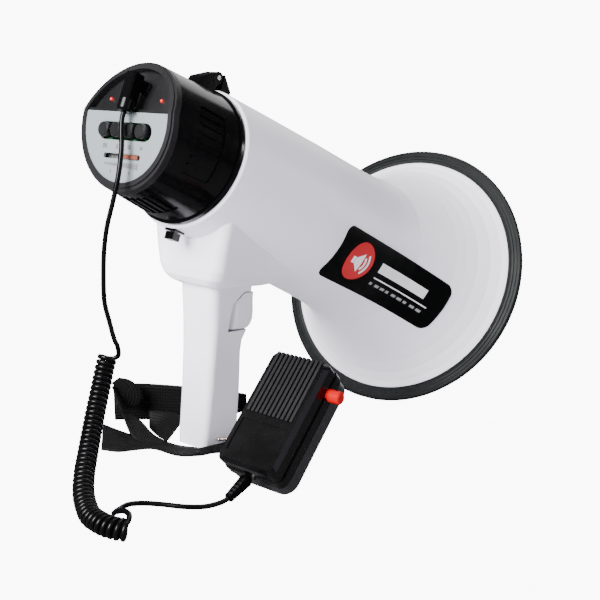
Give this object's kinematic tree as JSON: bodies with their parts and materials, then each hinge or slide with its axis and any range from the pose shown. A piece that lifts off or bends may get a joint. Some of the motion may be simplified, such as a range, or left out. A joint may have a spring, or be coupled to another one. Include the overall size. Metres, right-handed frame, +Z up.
{
  "type": "handheld megaphone",
  "caption": "Handheld megaphone with a flared horn, pistol grip and trigger, hinged control cover, and a corded hand microphone leaning beside it.",
  "frame": {"origin": "centre of the flat foot of the handle, on the floor the megaphone stands on", "axes": "+X forward, the way the horn points; +Z up; +Y the user's left. The horn stands nose down by 17 degrees on its foot and rim"},
  "size_m": [0.4474, 0.2318, 0.2507],
  "materials": {
    "white_shell": "satin moulded ABS",
    "inner_plastic": "matt moulded ABS",
    "rim_rubber": "matt ribbed rubber",
    "label_film": "glossy printed film",
    "black_gloss": "glossy moulded ABS",
    "grey_satin": "satin moulded ABS",
    "black_matte": "matt moulded plastic",
    "cable_rubber": "soft satin PVC",
    "plate_silver": "silver-white paint",
    "mark_grey": "printed ink",
    "brown_plastic": "satin plastic",
    "board_green": "solder mask",
    "steel": "bright steel",
    "bail_wire": "plated wire",
    "ferrite": "ferrite magnet",
    "cell_wrap": "shrink wrap",
    "led_red": "clear red lens",
    "button_red": "glossy moulded ABS",
    "webbing": "woven polypropylene webbing"
  },
  "bodies": {
    "horn": {"horn_shell": "white_shell", "rim": "rim_rubber", "label_plate": "label_film", "bulkhead": "inner_plastic", "throat": "inner_plastic", "reflector": "inner_plastic", "reflector_struts": "inner_plastic", "driver_magnet": "ferrite", "driver_plate": "steel", "driver_dome": "steel", "battery_holder": "black_matte", "battery_cells": "cell_wrap", "battery_contacts": "steel", "handle_right": "white_shell", "handle_left": "white_shell", "handle_screws": "steel", "trigger_pin": "steel", "trigger_switch": "black_matte", "hinge_lug": "black_gloss", "hinge_pin": "steel", "release_base": "black_gloss", "cord_coil": "cable_rubber", "cord_tail": "cable_rubber", "mic_boot": "cable_rubber", "mic_front": "black_gloss", "mic_rear": "grey_satin", "mic_grille": "grey_satin", "mic_capsule": "steel", "mic_switch": "black_matte", "mic_screws": "steel", "strap_band": "webbing", "strap_cross": "webbing", "strap_ribbon": "webbing"},
    "cover": {"cap": "black_gloss", "grip_ribs": "black_gloss", "hinge_arm": "black_gloss", "face_ring": "grey_satin", "upper_panel": "black_matte", "control_plate": "plate_silver", "plate_marks": "mark_grey", "switch_blocks": "black_matte", "control_board": "board_green", "volume_pot": "steel", "status_leds": "led_red", "jack": "black_matte", "plug": "cable_rubber", "cord_drop": "cable_rubber"},
    "release": {"cover_release": "black_gloss"},
    "volume": {"volume_knob": "brown_plastic"},
    "trigger": {"trigger": "white_shell"},
    "bail": {"strap_bail": "bail_wire"},
    "talk": {"ptt_button": "button_red"},
    "button_1": {"button_1": "black_matte"},
    "button_2": {"button_2": "black_matte"},
    "button_3": {"button_3": "black_matte"},
    "button_4": {"button_4": "black_matte"}
  },
  "joints": [
    {"name": "cover_hinge", "type": "hinge", "parent": "horn", "child": "cover", "pos_m": [-0.02053, 0, 0.24673], "axis": [0, 1, 0], "range_deg": [0, 95]},
    {"name": "release_push", "type": "slide", "parent": "horn", "child": "release", "axis": [0.9563, 0, -0.2924], "range_m": [0, 0.003], "stiffness_N_per_m": 300},
    {"name": "volume_slide", "type": "slide", "parent": "cover", "child": "volume", "axis": [0, 1, 0], "range_m": [0, 0.014]},
    {"name": "trigger_pull", "type": "hinge", "parent": "horn", "child": "trigger", "pos_m": [0.0065, 0, 0.107], "axis": [0, 1, 0], "range_deg": [0, 5], "stiffness_Nm_per_rad": 1.5},
    {"name": "bail_swing", "type": "hinge", "parent": "horn", "child": "bail", "pos_m": [-0.003, 0, 0.006], "axis": [0, 1, 0], "range_deg": [-32, 0]},
    {"name": "talk_push", "type": "slide", "parent": "horn", "child": "talk", "axis": [0, 1, 0], "range_m": [0, 0.0025], "stiffness_N_per_m": 400},
    {"name": "button_1_push", "type": "slide", "parent": "cover", "child": "button_1", "axis": [0.9969, 0, -0.0785], "range_m": [0, 0.002], "stiffness_N_per_m": 400},
    {"name": "button_2_push", "type": "slide", "parent": "cover", "child": "button_2", "axis": [0.9969, 0, -0.0785], "range_m": [0, 0.002], "stiffness_N_per_m": 400},
    {"name": "button_3_push", "type": "slide", "parent": "cover", "child": "button_3", "axis": [0.9969, 0, -0.0785], "range_m": [0, 0.002], "stiffness_N_per_m": 400},
    {"name": "button_4_push", "type": "slide", "parent": "cover", "child": "button_4", "axis": [0.9969, 0, -0.0785], "range_m": [0, 0.002], "stiffness_N_per_m": 400}
  ]
}
